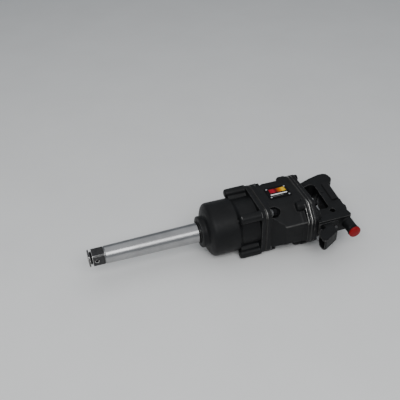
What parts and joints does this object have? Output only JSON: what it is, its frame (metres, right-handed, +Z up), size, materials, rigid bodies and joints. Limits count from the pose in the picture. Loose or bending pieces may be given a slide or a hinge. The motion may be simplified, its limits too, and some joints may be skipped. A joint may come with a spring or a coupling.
{
  "type": "pneumatic impact wrench",
  "caption": "Air impact wrench on its side: square drive on a long anvil, round hammer case, bolted square motor housing, D-shaped rear handle with trigger, plugged air inlet.",
  "frame": {"origin": "middle of the bounding box in X and Y, at the lowest point, which is the plane the tool lies on", "axes": "+X from the square drive to the handle, along the rotor's axis; +Y to the top of the tool, so the air inlet points to -Y; +Z up, out of the side that carries the name plate"},
  "size_m": [0.5286, 0.1924, 0.1072],
  "materials": {
    "ground_steel": "ground and polished, light turning marks",
    "dark_steel": "dark phosphate, worn bright on edges",
    "zinc_steel": "zinc plated",
    "black_paint": "satin black paint on a casting, worn edges",
    "cast_iron": "machined",
    "bronze": "sintered bronze",
    "rubber": "moulded, matte",
    "gasket": "fibre gasket sheet",
    "vane": "cloth-filled phenolic",
    "red_plastic": "moulded, semi-gloss",
    "plate": "printed black plate with plain colour blocks"
  },
  "bodies": {
    "tool": {"anvil_bushing": "bronze", "nose_seal": "rubber", "hammer_case": "black_paint", "anvil_thrust_washer": "bronze", "hammer_case_gasket": "gasket", "hammer_case_bolt_1": "dark_steel", "hammer_case_bolt_2": "dark_steel", "hammer_case_bolt_3": "dark_steel", "hammer_case_bolt_4": "dark_steel", "hammer_case_washer_1": "zinc_steel", "hammer_case_washer_2": "zinc_steel", "hammer_case_washer_3": "zinc_steel", "hammer_case_washer_4": "zinc_steel", "front_end_plate": "cast_iron", "front_bearing": "ground_steel", "cylinder": "cast_iron", "rear_end_plate": "cast_iron", "rear_bearing": "ground_steel", "motor_housing": "black_paint", "rear_gasket": "gasket", "valve_plate": "black_paint", "handle": "black_paint", "handle_bolt_1": "dark_steel", "handle_bolt_2": "dark_steel", "handle_bolt_3": "dark_steel", "handle_bolt_4": "dark_steel", "grip_sleeve": "rubber", "trigger_pin": "dark_steel", "throttle_spring": "zinc_steel", "throttle_cap": "dark_steel", "inlet_bushing": "dark_steel", "inlet_screen": "zinc_steel", "exhaust_deflector": "black_paint", "deflector_screw_1": "zinc_steel", "deflector_screw_2": "zinc_steel", "name_plate": "plate", "name_plate_rivet_1": "zinc_steel", "name_plate_rivet_2": "zinc_steel", "name_plate_rivet_3": "zinc_steel", "name_plate_rivet_4": "zinc_steel"},
    "anvil": {"anvil": "ground_steel", "socket_retaining_ring": "dark_steel"},
    "rotor": {"rotor": "dark_steel", "rotor_vane_1": "vane", "rotor_vane_2": "vane", "rotor_vane_3": "vane", "rotor_vane_4": "vane", "rotor_vane_5": "vane", "rotor_vane_6": "vane", "hammer_frame": "dark_steel", "hammer_pin_upper": "ground_steel", "hammer_pin_lower": "ground_steel"},
    "front_hammer": {"front_hammer": "cast_iron"},
    "rear_hammer": {"rear_hammer": "cast_iron"},
    "trigger": {"trigger": "dark_steel"},
    "throttle_valve": {"throttle_valve": "bronze"},
    "reverse_valve": {"reverse_valve": "dark_steel", "reverse_lever": "dark_steel"},
    "dust_plug": {"dust_plug": "red_plastic"}
  },
  "joints": [
    {"name": "rotor_spin", "type": "hinge", "parent": "tool", "child": "rotor", "pos_m": [0.10774, 0.02567, 0.053], "axis": [1, 0, 0], "continuous": true},
    {"name": "anvil_spin", "type": "hinge", "parent": "tool", "child": "anvil", "pos_m": [-0.03226, 0.02567, 0.053], "axis": [1, 0, 0], "continuous": true},
    {"name": "front_hammer_swing", "type": "hinge", "parent": "rotor", "child": "front_hammer", "pos_m": [0.01049, 0.05667, 0.053], "axis": [1, 0, 0], "range_deg": [-2.5, 2.5]},
    {"name": "rear_hammer_swing", "type": "hinge", "parent": "rotor", "child": "rear_hammer", "pos_m": [0.03699, -0.00533, 0.053], "axis": [1, 0, 0], "range_deg": [-2.5, 2.5]},
    {"name": "trigger_pull", "type": "hinge", "parent": "tool", "child": "trigger", "pos_m": [0.22324, 0.03767, 0.053], "axis": [0, 0, 1], "range_deg": [0, 7.5], "stiffness_Nm_per_rad": 1.5, "springref_deg": -5.73, "deforming": ["throttle_spring"]},
    {"name": "throttle_slide", "type": "slide", "parent": "tool", "child": "throttle_valve", "axis": [1, 0, 0], "range_m": [0, 0.006]},
    {"name": "reverse_lever_turn", "type": "hinge", "parent": "tool", "child": "reverse_valve", "pos_m": [0.17374, 0.02167, 0.053], "axis": [1, 0, 0], "range_deg": [-20, 20]},
    {"name": "dust_plug_pull", "type": "slide", "parent": "tool", "child": "dust_plug", "axis": [0, -1, 0], "range_m": [0, 0.02]}
  ],
  "couplings": [
    {"joint": "anvil_spin", "follows": "rotor_spin", "ratio": 1},
    {"joint": "throttle_slide", "follows": "trigger_pull", "m_per_rad": 0.0458}
  ]
}
